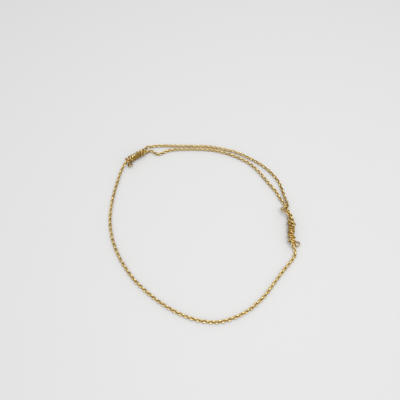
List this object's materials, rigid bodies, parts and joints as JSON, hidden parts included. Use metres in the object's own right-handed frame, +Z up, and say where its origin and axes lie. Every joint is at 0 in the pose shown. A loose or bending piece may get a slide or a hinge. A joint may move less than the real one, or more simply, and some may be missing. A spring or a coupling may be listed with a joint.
{
  "type": "chain bracelet",
  "caption": "Fine gold-coloured cable chain tied into an adjustable loop by two sliding knots, lying flat, with a small ring at each chain end.",
  "frame": {"origin": "in the middle of the loop, on the surface that it lies on", "axes": "+Z up from the surface, +X to the right along the double strand at the back, +Y from the single strand at the front to the double strand at the back"},
  "size_m": [0.0608, 0.0632, 0.0028],
  "materials": {
    "chain": "polished, gold-plated",
    "rings": "polished, gold-plated"
  },
  "bodies": {
    "root": {"front_run": "chain", "back_inner_run": "chain", "back_outer_run": "chain", "left_knot": "chain", "right_knot": "chain", "left_end_ring": "rings", "right_end_ring": "rings"}
  },
  "joints": []
}
